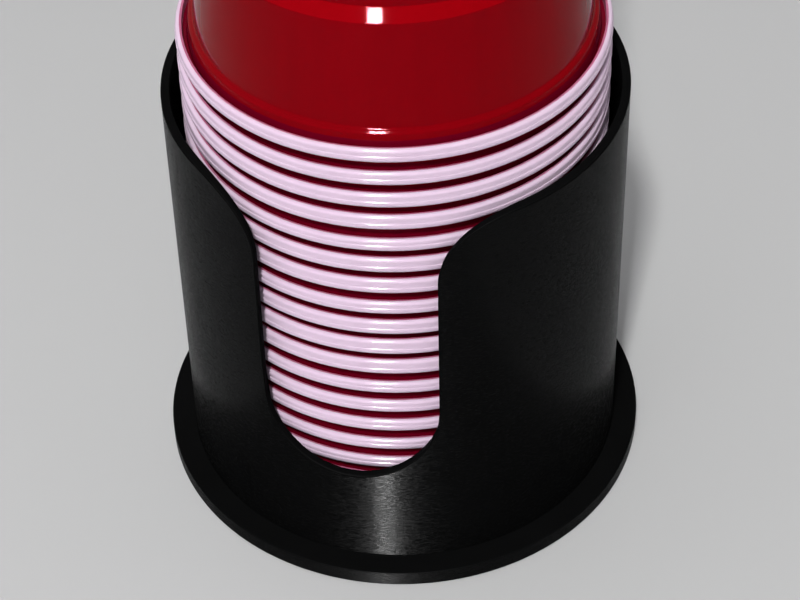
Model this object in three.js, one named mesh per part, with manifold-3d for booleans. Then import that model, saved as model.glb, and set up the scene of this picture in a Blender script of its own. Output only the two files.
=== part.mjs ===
// Cup holder for a counter: an open black sleeve with a slot down its front, standing on a
// round base plate with a flange, filled with a stack of party cups, mouths down.
// Millimetres, +Z up. The origin is the middle of the base plate's underside, and the slot
// faces -Y.

import * as THREE from 'three';
import { mergeVertices } from 'three/addons/utils/BufferGeometryUtils.js';
import Module from 'manifold-3d';

const wasm = await Module();
wasm.setup();

// Gaps that the pieces keep to each other
const seatGap = 0.3;      // under a piece that rests on another
const nestGap = 0.2;      // between the walls of two nested cups
const grooveGap = 0.3;    // each side of the sleeve in the base plate's groove
const rimClearance = 2.5; // from a cup's rim to the sleeve's bore

const cup = {
  count: 20,
  rimDiameter: 95,
  height: 119,
  wall: 0.4,
  beadWidth: 2.5,      // how far the rolled rim stands out from the neck
  beadHeight: 3.6,
  shoulderHeight: 5.8, // the shoulder that carries the rim of the next cup
  ledgeWidth: 1.8,     // from the shoulder in to the body
  ledgeRise: 0.4,
  stepHeight: 30.5,    // where the body's ring step starts
  stepWidth: 2.4,
  stepRise: 2.5,
  footWidth: 1.4,      // the ring that an upright cup stands on
  recessDepth: 1.2,    // from the foot to the floor panel
  recessDraft: 0.6,
  sides: 18,
};

const sleeve = {
  height: 106, // from the table to the top edge
  wall: 2,
  sides: 64,
};

const slot = {
  width: 40,
  sillHeight: 30.4,   // from the table to the lowest point of the round bottom
  cornerRadius: 16,   // of the two corners at the top edge
  arcDivisions: 6,
};

const basePlate = {
  thickness: 4,
  flangeWidth: 5.75,
  grooveDepth: 2,
};

// Radii and heights that follow from the sizes above
const rimRadius = cup.rimDiameter / 2;
const boreRadius = rimRadius + rimClearance;
const sleeveRadius = boreRadius + sleeve.wall;
const flangeRadius = sleeveRadius + basePlate.flangeWidth;
const nestPitch = cup.shoulderHeight + seatGap;
const bottomRimHeight = basePlate.thickness + seatGap;

const blackPlastic = { color: 0x161618, roughness: 0.5, metalness: 0 };
const redPlastic = { color: 0xa3061f, roughness: 0.18, metalness: 0 };

function point(radius, height) {
  return new THREE.Vector2(radius, height);
}

// A body of revolution round Z, from a profile of points (radius, height).
function revolve(profile, sides) {
  return new THREE.LatheGeometry(profile, sides).rotateX(Math.PI / 2);
}

function toSolid(geometry) {
  const bare = geometry.clone();
  bare.deleteAttribute('normal');
  bare.deleteAttribute('uv');
  const merged = mergeVertices(bare);
  return new wasm.Manifold(new wasm.Mesh({
    numProp: 3,
    vertProperties: merged.attributes.position.array,
    triVerts: merged.index.array,
  }));
}

function fromSolid(solid) {
  const mesh = solid.getMesh();
  const geometry = new THREE.BufferGeometry();
  geometry.setAttribute('position', new THREE.BufferAttribute(mesh.vertProperties, 3));
  geometry.setIndex(new THREE.BufferAttribute(mesh.triVerts, 1));
  geometry.computeVertexNormals();
  return geometry;
}

function piece(name, geometry, finish) {
  const mesh = new THREE.Mesh(geometry, new THREE.MeshStandardMaterial(finish));
  mesh.name = name;
  return mesh;
}

// The disc under the stack, with the ring groove that locates the sleeve.
function basePlateGeometry() {
  const top = basePlate.thickness;
  const grooveFloor = top - basePlate.grooveDepth;
  const grooveInside = boreRadius - grooveGap;
  const grooveOutside = sleeveRadius + grooveGap;
  return revolve([
    point(0, 0),
    point(flangeRadius, 0),
    point(flangeRadius, top),
    point(grooveOutside, top),
    point(grooveOutside, grooveFloor),
    point(grooveInside, grooveFloor),
    point(grooveInside, top),
    point(0, top),
  ], sleeve.sides);
}

// The slot's outline seen from the front: a round bottom, straight sides and two corners
// that round away into the top edge.
function slotOutline(overrun) {
  const half = slot.width / 2;
  const bottomCentre = slot.sillHeight + half;
  const corner = Math.min(slot.cornerRadius, sleeve.height - bottomCentre);
  const cornerCentre = sleeve.height - corner;
  const outline = new THREE.Shape();
  outline.absarc(0, bottomCentre, half, Math.PI, 2 * Math.PI, false);
  outline.absarc(half + corner, cornerCentre, corner, Math.PI, Math.PI / 2, true);
  outline.lineTo(half + corner, sleeve.height + overrun);
  outline.lineTo(-half - corner, sleeve.height + overrun);
  outline.absarc(-half - corner, cornerCentre, corner, Math.PI / 2, 0, true);
  outline.closePath();
  return outline;
}

// The tube that guides the stack, with the slot cut through its front wall.
function sleeveGeometry() {
  const bottom = basePlate.thickness - basePlate.grooveDepth;
  const tube = revolve([
    point(boreRadius, bottom),
    point(sleeveRadius, bottom),
    point(sleeveRadius, sleeve.height),
    point(boreRadius, sleeve.height),
    point(boreRadius, bottom),
  ], sleeve.sides);
  const overrun = sleeve.wall;
  const cutter = new THREE.ExtrudeGeometry(slotOutline(overrun), {
    depth: sleeveRadius + overrun,
    bevelEnabled: false,
    curveSegments: slot.arcDivisions,
  }).rotateX(Math.PI / 2);
  return fromSolid(toSolid(tube).subtract(toSolid(cutter)));
}

// Half a cup in section, mouth down: the outside from the rim up to the foot, and the inside
// back down. The body tapers by one wall and one nest gap in each nest pitch, so that the
// next cup slides over it.
function cupProfile() {
  const taper = (cup.wall + nestGap) / (nestPitch - cup.wall);
  const neckRadius = rimRadius - cup.beadWidth;
  const bodyRadius = neckRadius - cup.ledgeWidth;
  const ledgeTop = cup.shoulderHeight + cup.ledgeRise;
  const stepRadius = bodyRadius - taper * (cup.stepHeight - ledgeTop);
  const stepTop = cup.stepHeight + cup.stepRise;
  const waistRadius = stepRadius - cup.stepWidth;
  const footRadius = waistRadius - taper * (cup.height - stepTop);
  const footInside = footRadius - cup.footWidth;
  const recessRadius = footInside - cup.recessDraft;
  const panelTop = cup.height - cup.recessDepth;
  const beadEdge = cup.beadWidth / 3;
  const beadFlank = cup.beadHeight / 4;

  const body = [
    point(neckRadius, cup.shoulderHeight),
    point(bodyRadius, ledgeTop),
    point(stepRadius, cup.stepHeight),
    point(waistRadius, stepTop),
  ];
  const inside = body.map((corner) => point(corner.x - cup.wall, corner.y - cup.wall));
  return [
    point(0, panelTop - cup.wall),
    point(recessRadius + cup.wall, panelTop - cup.wall),
    point(footRadius - cup.wall, cup.height - cup.wall),
    ...inside.reverse(),
    point(neckRadius - cup.wall, 0),
    point(rimRadius - beadEdge, 0),
    point(rimRadius, beadFlank),
    point(rimRadius, cup.beadHeight - beadFlank),
    point(rimRadius - beadEdge, cup.beadHeight),
    point(neckRadius, cup.beadHeight),
    ...body,
    point(footRadius, cup.height),
    point(footInside, cup.height),
    point(recessRadius, panelTop),
    point(0, panelTop),
  ];
}

const cupHolder = new THREE.Group();
cupHolder.name = 'cup_holder';
cupHolder.add(piece('base_plate', basePlateGeometry(), blackPlastic));
cupHolder.add(piece('sleeve', sleeveGeometry(), blackPlastic));

const cupGeometry = revolve(cupProfile(), cup.sides);
for (let place = 0; place < cup.count; place += 1) {
  const number = String(place + 1).padStart(2, '0');
  const stacked = piece(`cup_${number}`, cupGeometry, redPlastic);
  stacked.position.z = bottomRimHeight + place * nestPitch;
  cupHolder.add(stacked);
}

export default cupHolder;
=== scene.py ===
import math

import bpy
from mathutils import Matrix, Vector


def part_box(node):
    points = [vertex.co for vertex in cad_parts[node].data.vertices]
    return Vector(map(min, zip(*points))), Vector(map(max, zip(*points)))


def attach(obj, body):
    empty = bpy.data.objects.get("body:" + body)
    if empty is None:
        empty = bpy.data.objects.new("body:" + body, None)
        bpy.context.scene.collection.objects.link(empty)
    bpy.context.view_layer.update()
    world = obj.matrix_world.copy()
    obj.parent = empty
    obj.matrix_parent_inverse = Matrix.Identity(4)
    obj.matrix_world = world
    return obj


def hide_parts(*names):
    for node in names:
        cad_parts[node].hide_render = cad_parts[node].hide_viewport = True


# Looks of a counter-top cup holder: a black printed sleeve with a slot down its front, on a
# flanged base plate, with a stack of red party cups, mouths down. Metres, slot facing -Y.

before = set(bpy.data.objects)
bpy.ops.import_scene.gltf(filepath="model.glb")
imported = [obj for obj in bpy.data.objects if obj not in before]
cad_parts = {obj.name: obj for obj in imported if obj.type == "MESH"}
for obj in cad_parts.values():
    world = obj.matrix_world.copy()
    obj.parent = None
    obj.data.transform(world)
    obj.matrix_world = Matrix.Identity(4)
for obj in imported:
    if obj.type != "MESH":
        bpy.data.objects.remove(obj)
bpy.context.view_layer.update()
print("frame loaded")

# Camera

camera = {
    "place": (0.1045, -0.4130, 0.4434),
    "azimuth": math.radians(14.25),
    "pitch": math.radians(43.65),   # below the horizon
    "roll": math.radians(-1.61),
    "lens": 110.1,
}


def addCamera():
    lens = bpy.data.cameras.new("counterCamera")
    lens.lens = camera["lens"]
    eye = bpy.data.objects.new("counterCamera", lens)
    bpy.context.collection.objects.link(eye)
    turn = Matrix.Rotation(camera["azimuth"], 4, "Z")
    tilt = Matrix.Rotation(math.pi / 2 - camera["pitch"], 4, "X")
    roll = Matrix.Rotation(camera["roll"], 4, "Z")
    eye.matrix_world = Matrix.Translation(camera["place"]) @ turn @ tilt @ roll
    bpy.context.scene.camera = eye


addCamera()
print("camera placed")

# Turned and swept surfaces

turning = {
    "stepAngle": math.radians(15),    # between two points of an arc, at most
    "support": 0.00005,               # from an arc's end to the point that keeps its straight flat
    "axisReach": 1e-9,                # a point nearer to the axis than this is on it
}


def unit(vector):
    return vector.normalized()


# The direction that a place round Z lies in, from the slot at angle 0 towards +X.
def outward(angle):
    return Vector((math.sin(angle), -math.cos(angle), 0))


# A line of corners (radius, height, rounding, surface) becomes points on straights and arcs.
# Each point is (place, normal, surface), and the outside is on the right of the line.
def roundedLine(corners):
    places = [Vector(corner[:2]) for corner in corners]
    line = []

    def add(place, normal, surface):
        line.append((place, normal, surface))

    def rightOf(along):
        return Vector((along.y, -along.x))

    support = turning["support"]
    first = unit(places[1] - places[0])
    add(places[0], rightOf(first), corners[0][3])
    for i in range(1, len(corners) - 1):
        rounding = corners[i][2]
        before, surface = corners[i - 1][3], corners[i][3]
        arrive = unit(places[i] - places[i - 1])
        leave = unit(places[i + 1] - places[i])
        turn = math.atan2(arrive.cross(leave), arrive.dot(leave))
        reach = rounding * math.tan(abs(turn) / 2)
        side = rightOf(arrive)
        start = places[i] - arrive * reach
        add(start - arrive * support, side, before)
        steps = max(2, math.ceil(abs(turn) / turning["stepAngle"]))
        for step in range(steps + 1):
            share = step / steps
            normal = side * math.cos(turn * share) + arrive * math.sin(turn * share)
            place = start + (normal - side) * math.copysign(rounding, turn)
            add(place, normal, before if share < 0.5 else surface)
        add(places[i] + leave * (reach + support), rightOf(leave), surface)
    last = unit(places[-1] - places[-2])
    add(places[-1], rightOf(last), corners[-2][3])
    return line


# Turns a rounded line round Z. It starts and ends on the axis.
def turned(name, corners, sides, base=0.0):
    line = roundedLine(corners)
    points, normals, faces, surfaces = [], [], [], []
    rings = []
    for place, normal, surface in line:
        count = 1 if place.x < turning["axisReach"] else sides
        rings.append(range(len(points), len(points) + count))
        for k in range(count):
            out = outward(2 * math.pi * k / sides)
            points.append(out * place.x + Vector((0, 0, base + place.y)))
            normals.append(out * normal.x + Vector((0, 0, normal.y)))
    for (lower, upper), (_, _, surface) in zip(zip(rings, rings[1:]), line):
        for k in range(sides):
            n = (k + 1) % sides
            corner = [lower[k % len(lower)], lower[n % len(lower)],
                      upper[n % len(upper)], upper[k % len(upper)]]
            faces.append(list(dict.fromkeys(corner)))    # a triangle at the axis
            surfaces.append(surface)
    return meshObject(name, points, normals, faces, surfaces)


def meshObject(name, points, normals, faces, surfaces):
    mesh = bpy.data.meshes.new(name)
    mesh.from_pydata([tuple(p) for p in points], [], faces)
    mesh.polygons.foreach_set("material_index", surfaces)
    mesh.polygons.foreach_set("use_smooth", [True] * len(faces))
    mesh.normals_split_custom_set_from_vertices([tuple(unit(n)) for n in normals])
    made = bpy.data.objects.new(name, mesh)
    bpy.context.collection.objects.link(made)
    return made


# A finished piece takes its materials and its node's place, whose node is hidden, and joins its
# body.
def fit(piece, materials, node, body):
    for material in materials:
        piece.data.materials.append(material)
    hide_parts(node)
    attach(piece, body)


# Material nodes

noiseMiddle = (0.3, 0.7)    # most of a noise's values lie between these


def newMaterial(name):
    material = bpy.data.materials.new(name)
    material.use_nodes = True
    return material, material.node_tree.nodes["Principled BSDF"]


def addNode(material, kind, **settings):
    node = material.node_tree.nodes.new(kind)
    for key, value in settings.items():
        if key in node.inputs:
            node.inputs[key].default_value = value
        else:
            setattr(node, key, value)
    return node


def join(material, source, target):
    material.node_tree.links.new(source, target)


def noise(material, scale, detail, stretch=(1, 1, 1)):
    place = addNode(material, "ShaderNodeTexCoord")
    mapping = addNode(material, "ShaderNodeMapping", Scale=stretch)
    join(material, place.outputs["Object"], mapping.inputs["Vector"])
    node = addNode(material, "ShaderNodeTexNoise", Scale=scale, Detail=detail)
    join(material, mapping.outputs["Vector"], node.inputs["Vector"])
    return node.outputs["Fac"]


# Spreads a value that runs over the first range over the second one.
def remapped(material, source, taken, given):
    spread = addNode(material, "ShaderNodeMapRange")
    spread.inputs["From Min"].default_value, spread.inputs["From Max"].default_value = taken
    spread.inputs["To Min"].default_value, spread.inputs["To Max"].default_value = given
    join(material, source, spread.inputs["Value"])
    return spread.outputs["Result"]


def blendColours(material, source, first, second):
    mix = addNode(material, "ShaderNodeMix", data_type="RGBA")
    mix.inputs["A"].default_value = (*first, 1)
    mix.inputs["B"].default_value = (*second, 1)
    join(material, source, mix.inputs["Factor"])
    return mix.outputs["Result"]


def bump(material, heights, distance, strength, below=None):
    node = addNode(material, "ShaderNodeBump", Distance=distance, Strength=strength)
    join(material, heights, node.inputs["Height"])
    if below:
        join(material, below, node.inputs["Normal"])
    return node.outputs["Normal"]


# Black printed plastic

printedPlastic = {
    "dark": (0.0023, 0.00235, 0.0024),
    "light": (0.0036, 0.0037, 0.0038),
    "mottle": {"scale": 90, "detail": 4},
    "layer": 0.0002,                # the height of one printed layer
    "uneven": {"scale": 1.0, "detail": 2, "stretch": (900, 900, 9000)},    # from layer to layer
    "bulgeShares": (0.85, 1.2),     # how the uneven layers bulge, as shares of their slope
    "grainDetail": 1,
    "grainStrength": 1.0,
}

printedFaces = {
    "printedWall": {"specular": 0.012, "roughness": (0.04, 0.34), "layerSlope": 1.5,
                    "grain": 0.0008, "grainDepth": 0.00001},
    "printedEdge": {"specular": 0.008, "roughness": (0.10, 0.40), "layerSlope": 1.5,
                    "grain": 0.0008, "grainDepth": 0.00001},
    "printedLevel": {"specular": 0.003, "roughness": (0.50, 0.60), "layerSlope": 0.0,
                     "grain": 0.00045, "grainDepth": 0.00004},
}


# The normal of a wall printed in level layers, which tilts up and down over each layer's bulge
# and so draws highlights out up and down.
def layeredNormal(material, slope, uneven):
    place = addNode(material, "ShaderNodeTexCoord")
    height = addNode(material, "ShaderNodeSeparateXYZ")
    join(material, place.outputs["Object"], height.inputs["Vector"])
    phase = addNode(material, "ShaderNodeMath", operation="MULTIPLY")
    phase.inputs[1].default_value = 2 * math.pi / printedPlastic["layer"]
    join(material, height.outputs["Z"], phase.inputs[0])
    wave = addNode(material, "ShaderNodeMath", operation="SINE")
    join(material, phase.outputs["Value"], wave.inputs[0])
    slopes = [slope * share for share in printedPlastic["bulgeShares"]]
    lean = addNode(material, "ShaderNodeMath", operation="MULTIPLY")
    join(material, wave.outputs["Value"], lean.inputs[0])
    join(material, remapped(material, uneven, noiseMiddle, slopes), lean.inputs[1])
    upward = addNode(material, "ShaderNodeCombineXYZ")
    join(material, lean.outputs["Value"], upward.inputs["Z"])
    surface = addNode(material, "ShaderNodeNewGeometry")
    tilted = addNode(material, "ShaderNodeVectorMath", operation="ADD")
    join(material, surface.outputs["Normal"], tilted.inputs[0])
    join(material, upward.outputs["Vector"], tilted.inputs[1])
    even = addNode(material, "ShaderNodeVectorMath", operation="NORMALIZE")
    join(material, tilted.outputs["Vector"], even.inputs[0])
    return even.outputs["Vector"]


def printedBlack(name, face):
    plastic = printedPlastic
    material, shader = newMaterial(name)
    shader.inputs["Specular IOR Level"].default_value = face["specular"]
    mottle = noise(material, **plastic["mottle"])
    colour = blendColours(material, mottle, plastic["dark"], plastic["light"])
    join(material, colour, shader.inputs["Base Color"])
    uneven = noise(material, **plastic["uneven"])
    roughness = remapped(material, uneven, noiseMiddle, face["roughness"])
    join(material, roughness, shader.inputs["Roughness"])
    layers = layeredNormal(material, face["layerSlope"], uneven) if face["layerSlope"] else None
    grain = noise(material, 1 / face["grain"], plastic["grainDetail"])
    relief = bump(material, grain, face["grainDepth"], plastic["grainStrength"], below=layers)
    join(material, relief, shader.inputs["Normal"])
    return material


blackMaterials = [printedBlack(name, face) for name, face in printedFaces.items()]
blackWall, blackEdge, blackLevel = range(len(blackMaterials))
print("black materials made")

# Plastic sheet of the cups

formedSheet = {
    "drawn": {"scale": 1.0, "detail": 3, "stretch": (260, 260, 12)},    # streaks along the cup
    "wave": {"scale": 160, "detail": 1},
    "waveStrength": 0.3,
}

redGloss = {"tint": (1.0, 0.28, 0.34), "specular": 0.06, "roughness": (0.04, 0.06)}

cupLooks = {
    "redOutside": {"colour": (0.205, 0.0002, 0.0030), "shade": (0.172, 0.0002, 0.0024),
                   "waveDepth": 0.00002, **redGloss},
    # The step ring, which faces up, is painted a lighter red than the body: painted reflection of
    # the light from above.
    "redStepPaintedSheen": {"colour": (0.265, 0.0002, 0.0030), "shade": (0.230, 0.0002, 0.0024),
                "waveDepth": 0.00002, **redGloss},
    # The neck and the groove behind the curl are painted a darker red with a bluer tint: painted
    # shade in the gaps under the next rim, and a painted reflection of the pink rims.
    "redNeckPaintedShade": {"colour": (0.15, 0.0006, 0.0110), "shade": (0.12, 0.0005, 0.0090),
                "waveDepth": 0.00001, **redGloss, "tint": (1.0, 0.30, 0.40)},
    "rolledRim": {"colour": (0.70, 0.545, 0.685), "shade": (0.665, 0.51, 0.65),
                  "waveDepth": 0.00001, "tint": (1.0, 0.96, 0.98), "specular": 0.052,
                  "roughness": (0.08, 0.11)},
    # The lip's slant, which faces up, is painted darker than the rest of the rim: painted shade
    # that offsets the extra light its face catches.
    "rimSlantPaintedShade": {"colour": (0.595, 0.463, 0.583), "shade": (0.565, 0.433, 0.552),
                 "waveDepth": 0.00001, "tint": (1.0, 0.96, 0.98), "specular": 0.060,
                 "roughness": (0.08, 0.11)},
    "rimEdge": {"colour": (0.46, 0.14, 0.24), "shade": (0.40, 0.10, 0.19),
                "waveDepth": 0.00001, "tint": (1.0, 0.8, 0.85), "specular": 0.05,
                "roughness": (0.35, 0.45)},
    "whiteInside": {"colour": (0.82, 0.80, 0.80), "shade": (0.76, 0.74, 0.75),
                    "waveDepth": 0.00002, "tint": (1.0, 1.0, 1.0), "specular": 0.2,
                    "roughness": (0.20, 0.30)},
}


# Two near colours streaked along the cup, and a faint wave in the sheet.
def formedPlastic(name, look):
    material, shader = newMaterial(name)
    shader.inputs["Specular IOR Level"].default_value = look["specular"]
    shader.inputs["Specular Tint"].default_value = (*look["tint"], 1)
    drawn = noise(material, **formedSheet["drawn"])
    colour = blendColours(material, drawn, look["colour"], look["shade"])
    join(material, colour, shader.inputs["Base Color"])
    roughness = remapped(material, drawn, noiseMiddle, look["roughness"])
    join(material, roughness, shader.inputs["Roughness"])
    wave = noise(material, **formedSheet["wave"])
    relief = bump(material, wave, look["waveDepth"], formedSheet["waveStrength"])
    join(material, relief, shader.inputs["Normal"])
    return material


cupMaterials = [formedPlastic(name, look) for name, look in cupLooks.items()]
(redOutside, redStepPaintedSheen, redNeckPaintedShade, rolledRim, rimSlantPaintedShade, rimEdge,
 whiteInside) = range(len(cupMaterials))
print("cup materials made")

# The sleeve's size, which the base plate's groove follows

sleeveWall = 0.0020
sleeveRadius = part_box("sleeve")[1].y
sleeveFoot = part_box("sleeve")[0].z
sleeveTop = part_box("sleeve")[1].z
boreRadius = sleeveRadius - sleeveWall

# Base plate

basePlate = {
    "edgeRounding": 0.0003,
    "seam": 0.00004,        # each side of the sleeve in its groove
    "grooveDepth": 0.0020,
    "sides": 192,
}


def makeBasePlate():
    flange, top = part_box("base_plate")[1].yz
    rounding = basePlate["edgeRounding"]
    seam = basePlate["seam"]
    floor = top - basePlate["grooveDepth"]
    corners = [
        (0, 0, 0, blackLevel),
        (flange, 0, rounding, blackEdge),
        (flange, top, rounding, blackLevel),
        (sleeveRadius + seam, top, seam, blackWall),
        (sleeveRadius + seam, floor, seam, blackLevel),
        (boreRadius - seam, floor, seam, blackWall),
        (boreRadius - seam, top, seam, blackLevel),
        (0, top, 0, blackLevel),
    ]
    plate = turned("base_plate_fine", corners, basePlate["sides"])
    fit(plate, blackMaterials, "base_plate", "holder")


makeBasePlate()
print("base plate made")

# Sleeve

sleeve = {
    "outerRounding": 0.0005,
    "innerRounding": 0.0003,
    "slotWidth": 0.040,
    "sill": 0.0304,         # the slot's lowest point above the counter
    "corner": 0.016,        # the two rounded corners at the top edge
    "sillSteps": 24,        # columns of faces along each stretch of the edge
    "sideSteps": 20,
    "cornerSteps": 18,
    "backSteps": 70,
    "sillFoot": math.radians(15),    # where the last column of each stretch stands
    "sideFoot": math.radians(38),
    "cornerFoot": math.radians(56),
    "wallRows": 14,
    "crowding": 0.6,        # below 1, the rows crowd towards the edge
    "edgeRows": 4,
}


# The sleeve's edge from the middle of the sill, up the slot's side and round the back. Each
# station is (outer point, inner point, edge normal, angle of the column's foot).
def sleeveStations():
    s = sleeve
    half = s["slotWidth"] / 2
    corner = s["corner"]
    arcHeight = s["sill"] + half
    cornerHeight = sleeveTop - corner
    stations = []

    def onFront(x, z, normal, foot):
        outer = Vector((x, -math.sqrt(sleeveRadius ** 2 - x ** 2), z))
        inner = Vector((x, -math.sqrt(boreRadius ** 2 - x ** 2), z))
        stations.append((outer, inner, normal, foot))

    for i in range(s["sillSteps"]):
        share = i / s["sillSteps"]
        a = share * math.pi / 2
        onFront(half * math.sin(a), arcHeight - half * math.cos(a),
                Vector((-math.sin(a), 0, math.cos(a))), share * s["sillFoot"])
    for i in range(s["sideSteps"]):
        share = i / s["sideSteps"]
        foot = s["sillFoot"] + share * (s["sideFoot"] - s["sillFoot"])
        onFront(half, arcHeight + share * (cornerHeight - arcHeight), Vector((-1, 0, 0)), foot)
    for i in range(s["cornerSteps"] + 1):
        share = i / s["cornerSteps"]
        a = share * math.pi / 2
        foot = s["sideFoot"] + share * (s["cornerFoot"] - s["sideFoot"])
        onFront(half + corner - corner * math.cos(a), cornerHeight + corner * math.sin(a),
                Vector((-math.cos(a), 0, math.sin(a))), foot)
    outerStart = math.asin((half + corner) / sleeveRadius)
    innerStart = math.asin((half + corner) / boreRadius)
    top = Vector((0, 0, sleeveTop))
    for i in range(1, s["backSteps"] + 1):
        share = i / s["backSteps"]
        foot = s["cornerFoot"] + share * (math.pi - s["cornerFoot"])
        outer = outward(outerStart + share * (math.pi - outerStart)) * sleeveRadius + top
        inner = outward(innerStart + share * (math.pi - innerStart)) * boreRadius + top
        stations.append((outer, inner, Vector((0, 0, 1)), foot))
    return stations


# One wall's points from its foot up to the edge rounding, then round the edge onto its face.
def wallPoints(edge, across, normal, foot, radius, facing, rounding):
    angle = math.atan2(edge.x, -edge.y)
    tangent = Vector((math.cos(angle), math.sin(angle), 0))
    radial = outward(angle)
    inPlane = normal - radial * normal.dot(radial)
    shift = unit(inPlane) * rounding
    startAngle = angle - shift.dot(tangent) / radius
    startHeight = edge.z - shift.z
    points = []
    for row in range(sleeve["wallRows"] + 1):
        share = (row / sleeve["wallRows"]) ** sleeve["crowding"]
        out = outward(foot + share * (startAngle - foot))
        height = sleeveFoot + share * (startHeight - sleeveFoot)
        points.append((out * radius + Vector((0, 0, height)), out * facing))
    start = points[-1][0]
    face = edge + across * rounding
    for row in range(1, sleeve["edgeRows"] + 1):
        t = row / sleeve["edgeRows"]
        place = start * (1 - t) ** 2 + edge * 2 * t * (1 - t) + face * t ** 2
        points.append((place, unit(radial * facing * (1 - t) + normal * t)))
    return points


# The right half's columns, outside up and inside down, and the left half's, mirrored.
def sleeveColumns():
    columns = []
    for outer, inner, normal, foot in sleeveStations():
        inward = unit(inner - outer)
        outside = wallPoints(outer, inward, normal, foot, sleeveRadius, 1,
                             sleeve["outerRounding"])
        inside = wallPoints(inner, -inward, normal, foot, boreRadius, -1,
                            sleeve["innerRounding"])
        columns.append(outside + inside[::-1])
    mirrored = [[(Vector((-p.x, p.y, p.z)), Vector((-n.x, n.y, n.z))) for p, n in column]
                for column in columns[-2:0:-1]]
    return columns + mirrored


def makeSleeve():
    columns = sleeveColumns()
    points = [p for column in columns for p, _ in column]
    normals = [n for column in columns for _, n in column]
    rows = len(columns[0])
    faces, surfaces = [], []
    for c in range(len(columns)):
        here, after = c * rows, (c + 1) % len(columns) * rows
        for r in range(rows):
            up = (r + 1) % rows
            faces.append([here + r, after + r, after + up, here + up])
            onWall = min(r, rows - 2 - r) < sleeve["wallRows"]
            surfaces.append(blackWall if onWall else blackLevel)
    tube = meshObject("sleeve_fine", points, normals, faces, surfaces)
    fit(tube, blackMaterials, "sleeve", "holder")


makeSleeve()
print("sleeve made")

# Cups

cup = {
    "wall": 0.0004,
    "neckInset": 0.0025,      # from the widest part of the rim in to the neck
    "flareHeight": 0.0010,    # where the neck starts to open into the rim
    "flareInset": 0.00235,
    "mouthRounding": 0.00045,
    "lipRounding": 0.0013,
    "lipHeight": 0.0018,      # the rim's lower lip, and how far the curl above it stands back
    "lipStep": 0.00020,
    "lipEdgeRounding": 0.00022,
    "curlWidth": 0.0014,
    "crestRounding": 0.0007,
    "edgeWidth": 0.00050,     # the sheet's cut edge at the curl's end
    "edgeDrop": 0.00016,
    "edgeRounding": 0.0001,
    "grooveFloor": 0.0011,    # between the curl and the neck
    "neckStraight": 0.0020,   # above this the neck leans in to the shoulder
    "neckLean": 0.00065,
    "neckTop": 0.0040,        # below this the neck is painted darker: painted shade in the gap under the rim above
    "shoulderHeight": 0.00545,    # from here the shoulder slants in and up to the body
    "slantWidth": 0.00048,
    "slantRise": 0.00042,
    "shoulderRounding": 0.0008,
    "bodyInset": 0.0042,      # from the rim in to the body
    "bodyFoot": 0.00614,
    "bodyRounding": 0.00075,
    "sheetRounding": 0.0006,
    "stepHeight": 0.0305,     # the ring step round the body
    "stepWidth": 0.0024,
    "stepRise": 0.0025,
    "stepRounding": 0.0007,
    "taper": 0.1053,
    "footWidth": 0.0014,
    "footRounding": 0.0006,
    "recessDepth": 0.0012,    # from the foot to the floor panel
    "recessDraft": 0.0006,
    "sides": 120,
}

# How high each rim in view is rolled, from the top cup down, and the height of the rest.
curlHeights = (0.00356, 0.00355, 0.00380, 0.00387, 0.00330, 0.00402, 0.00400, 0.00351,
               0.00394, 0.00417, 0.00405, 0.00333, 0.00351, 0.00339, 0.00320, 0.00320)
hiddenCurl = 0.0036


# The radii and heights that follow from a cup's rim radius and height.
def cupPlaces(rim, height):
    neck = rim - cup["neckInset"]
    lean = cup["neckLean"]
    leanRise = cup["shoulderHeight"] - cup["neckStraight"]
    neckTopShare = (cup["neckTop"] - cup["neckStraight"]) / leanRise
    body = rim - cup["bodyInset"]
    step = body - cup["taper"] * (cup["stepHeight"] - cup["bodyFoot"])
    stepTop = cup["stepHeight"] + cup["stepRise"]
    waist = step - cup["stepWidth"]
    foot = waist - cup["taper"] * (height - stepTop)
    footInside = foot - cup["footWidth"]
    return {
        "rim": rim, "neck": neck, "neckTop": neck - lean * neckTopShare,
        "shoulder": neck - lean, "body": body, "step": step, "stepTop": stepTop,
        "waist": waist, "foot": foot, "footInside": footInside,
        "recess": footInside - cup["recessDraft"], "panel": height - cup["recessDepth"],
        "height": height,
    }


# From the middle of the floor panel down the inside to the mouth.
def cupInside(at):
    wall = cup["wall"]
    fine = cup["edgeRounding"]
    sheet = cup["sheetRounding"]
    return [
        (0, at["panel"] - wall, 0, whiteInside),
        (at["recess"] + wall, at["panel"] - wall, fine, whiteInside),
        (at["foot"] - wall, at["height"] - wall, fine, whiteInside),
        (at["waist"] - wall, at["stepTop"] - wall, fine, whiteInside),
        (at["step"] - wall, cup["stepHeight"] - wall, cup["stepRounding"] + wall, whiteInside),
        (at["body"] - wall, cup["bodyFoot"] - wall, cup["bodyRounding"], whiteInside),
        (at["shoulder"] - wall, cup["shoulderHeight"] - wall, sheet, whiteInside),
        (at["neck"] - wall, cup["neckStraight"], sheet, whiteInside),
        (at["neck"] - wall, cup["flareHeight"], fine, whiteInside),
    ]


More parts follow.
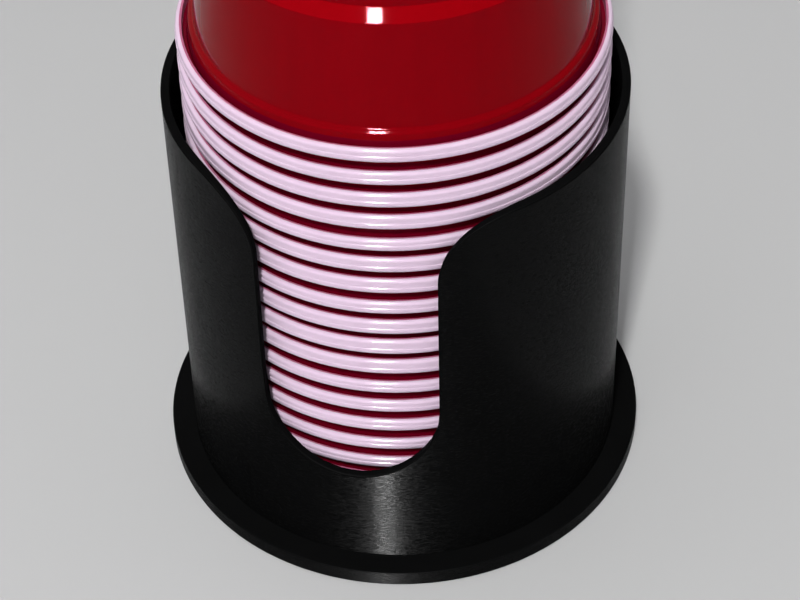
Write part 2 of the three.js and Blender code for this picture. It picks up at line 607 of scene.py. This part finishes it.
# Out round the mouth, up the rolled rim and down into the groove behind it.
def cupRoll(at, curl):
    rim = at["rim"]
    fine = cup["edgeRounding"]
    lipEdge = cup["lipEdgeRounding"]
    crestOut = rim - cup["lipStep"]
    crestIn = crestOut - cup["curlWidth"]
    edgeTop = curl - cup["edgeDrop"] / 2
    return [
        (rim - cup["flareInset"], 0, cup["mouthRounding"], rolledRim),
        (rim, 0, cup["lipRounding"], rolledRim),
        # the upward slant of the lip takes the darker rim colour: painted shade
        (rim, cup["lipHeight"], lipEdge, rimSlantPaintedShade),
        (crestOut, cup["lipHeight"] + cup["lipStep"], lipEdge, rolledRim),
        (crestOut, curl, cup["crestRounding"], rolledRim),
        (crestIn + cup["edgeWidth"], edgeTop, fine, rimEdge),
        (crestIn, curl - cup["edgeDrop"], fine, rimEdge),
        # the groove and the neck take the darker red: painted shade under the next rim
        (crestIn, cup["grooveFloor"], fine, redNeckPaintedShade),
        (at["neck"], cup["grooveFloor"], fine, redNeckPaintedShade),
    ]


# Up the outside from the neck to the middle of the floor panel.
def cupOutside(at):
    fine = cup["edgeRounding"]
    foot = cup["footRounding"]
    slantIn = at["shoulder"] - cup["slantWidth"]
    slantTop = cup["shoulderHeight"] + cup["slantRise"]
    return [
        # the neck takes the darker red up to neckTop: painted shade under the next rim
        (at["neck"], cup["neckStraight"], cup["sheetRounding"], redNeckPaintedShade),
        (at["neckTop"], cup["neckTop"], fine, redOutside),
        (at["shoulder"], cup["shoulderHeight"], cup["shoulderRounding"], redOutside),
        (slantIn, slantTop, cup["shoulderRounding"], redOutside),
        (at["body"], cup["bodyFoot"], cup["bodyRounding"], redOutside),
        # the step ring takes the lighter red, a painted reflection of the light from above
        (at["step"], cup["stepHeight"], cup["stepRounding"], redStepPaintedSheen),
        (at["waist"], at["stepTop"], cup["stepRounding"], redOutside),
        (at["foot"], at["height"], foot, redOutside),
        (at["footInside"], at["height"], foot, redOutside),
        (at["recess"], at["panel"], fine, redOutside),
        (0, at["panel"], 0, redOutside),
    ]


def makeCups():
    names = sorted((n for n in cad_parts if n.startswith("cup_")), reverse=True)
    for place, node in enumerate(names):
        low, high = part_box(node)
        at = cupPlaces(high.y, high.z - low.z)
        curl = curlHeights[place] if place < len(curlHeights) else hiddenCurl
        section = cupInside(at) + cupRoll(at, curl) + cupOutside(at)
        fineCup = turned(node + "_fine", section, cup["sides"], base=low.z)
        fit(fineCup, cupMaterials, node, "lifted_" + node)


makeCups()
print("cups made")

# Counter

counterTop = {
    "colour": (0.50, 0.50, 0.505),
    "roughness": 0.6,
    "specular": 0.05,
    "reach": 40.0,      # from the holder to the counter's edges, out of sight
    "drop": 0.0001,     # keeps it clear of the base plate's underside
}


def makeCounter():
    reach = counterTop["reach"]
    sides = ((-1, -1), (1, -1), (1, 1), (-1, 1))
    mesh = bpy.data.meshes.new("counter")
    mesh.from_pydata([(x * reach, y * reach, -counterTop["drop"]) for x, y in sides], [],
                     [(0, 1, 2, 3)])
    counter = bpy.data.objects.new("counter", mesh)
    bpy.context.collection.objects.link(counter)
    material, shader = newMaterial("paleCounter")
    shader.inputs["Base Color"].default_value = (*counterTop["colour"], 1)
    shader.inputs["Roughness"].default_value = counterTop["roughness"]
    shader.inputs["Specular IOR Level"].default_value = counterTop["specular"]
    mesh.materials.append(material)


makeCounter()
print("counter made")

# Lamps, by their bearing round the holder from the slot towards +X and their rise above the
# horizon. The ceiling lamp comes twice: as what it lights, and brighter as its reflections.

lampTarget = Vector((0, 0, 0.1))

lamps = {
    "ceilingLamp": {"bearing": 5.2, "rise": 52.8, "away": 1.6, "width": 0.10, "height": 0.10,
                    "watts": 21.8, "colour": (1.0, 1.0, 0.99), "reflected": False},
    "ceilingGlint": {"bearing": 1.6, "rise": 51.5, "away": 1.6, "width": 0.17, "height": 0.75,
                     "watts": 360, "colour": (1.0, 1.0, 1.0), "reflected": True},
}


def addLamp(name, settings):
    light = bpy.data.lights.new(name, "AREA")
    light.shape = "RECTANGLE"
    light.size = settings["width"]
    light.size_y = settings["height"]
    light.energy = settings["watts"]
    light.color = settings["colour"]
    lamp = bpy.data.objects.new(name, light)
    bpy.context.collection.objects.link(lamp)
    rise = math.radians(settings["rise"])
    level = outward(math.radians(settings["bearing"])) * math.cos(rise)
    away = level + Vector((0, 0, math.sin(rise)))
    lamp.location = lampTarget + away * settings["away"]
    lamp.rotation_mode = "QUATERNION"
    lamp.rotation_quaternion = away.to_track_quat("Z", "Y")
    lamp.visible_camera = False
    lamp.visible_glossy = settings["reflected"]
    lamp.visible_diffuse = not settings["reflected"]


for lampName, lampSettings in lamps.items():
    addLamp(lampName, lampSettings)
print("lamps made")

# A soft room whose left side is the brighter one

room = {"colour": (1.0, 1.0, 1.01), "strengths": (0.70, 0.26)}    # at the left and the right


def setWorld():
    world = bpy.data.worlds.new("softRoom")
    bpy.context.scene.world = world
    world.use_nodes = True
    back = world.node_tree.nodes["Background"]
    back.inputs["Color"].default_value = (*room["colour"], 1)
    way = addNode(world, "ShaderNodeTexCoord")
    parts = addNode(world, "ShaderNodeSeparateXYZ")
    join(world, way.outputs["Generated"], parts.inputs["Vector"])
    glow = remapped(world, parts.outputs["X"], (-1, 1), room["strengths"])
    join(world, glow, back.inputs["Strength"])


setWorld()
bpy.context.scene.view_settings.view_transform = "Standard"
print("room made")
